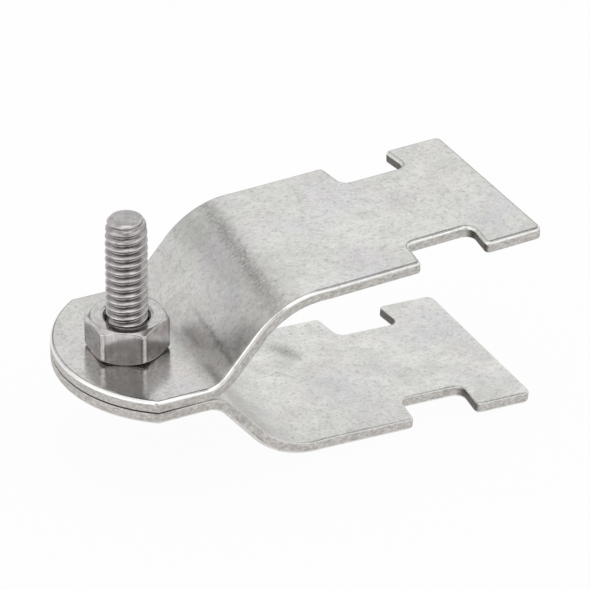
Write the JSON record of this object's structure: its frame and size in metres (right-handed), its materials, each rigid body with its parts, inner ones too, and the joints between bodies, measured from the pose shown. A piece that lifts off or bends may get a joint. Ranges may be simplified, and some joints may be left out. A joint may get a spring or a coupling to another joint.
{
  "type": "conduit strap",
  "caption": "Two-piece conduit strap for strut channel: folded sheet halves with a rounded ear, a conduit seat and a hooked end, held ear to ear by a screw and hex nut.",
  "frame": {"origin": "on the conduit's axis at mid width, in the plane where the two ears meet", "axes": "+X along the strap from the ears to the hooks, +Y along the conduit, +Z along the screw towards its point"},
  "size_m": [0.0714, 0.0318, 0.039],
  "materials": {
    "sheet_stainless": "tumbled mill finish stainless sheet, pale warm grey, faintly mottled",
    "fastener_stainless": "bright cold-formed stainless fastener"
  },
  "bodies": {
    "lower_half": {"lower_half": "sheet_stainless"},
    "screw": {"screw": "fastener_stainless"},
    "hex_nut": {"hex_nut": "fastener_stainless"},
    "upper_half": {"upper_half": "sheet_stainless"}
  },
  "joints": [
    {"name": "screw_turn", "type": "hinge", "parent": "lower_half", "child": "screw", "pos_m": [-0.024, 0, 0], "axis": [0, 0, -1], "range_deg": [0, 4320]},
    {"name": "nut_travel", "type": "slide", "parent": "lower_half", "child": "hex_nut", "axis": [0, 0, 1], "range_m": [0, 0.01524]},
    {"name": "upper_half_swivel", "type": "hinge", "parent": "hex_nut", "child": "upper_half", "pos_m": [-0.024, 0, 0], "axis": [0, 0, 1], "continuous": true}
  ],
  "couplings": [
    {"joint": "screw_turn", "follows": "nut_travel", "rad_per_m": 4947.4}
  ]
}
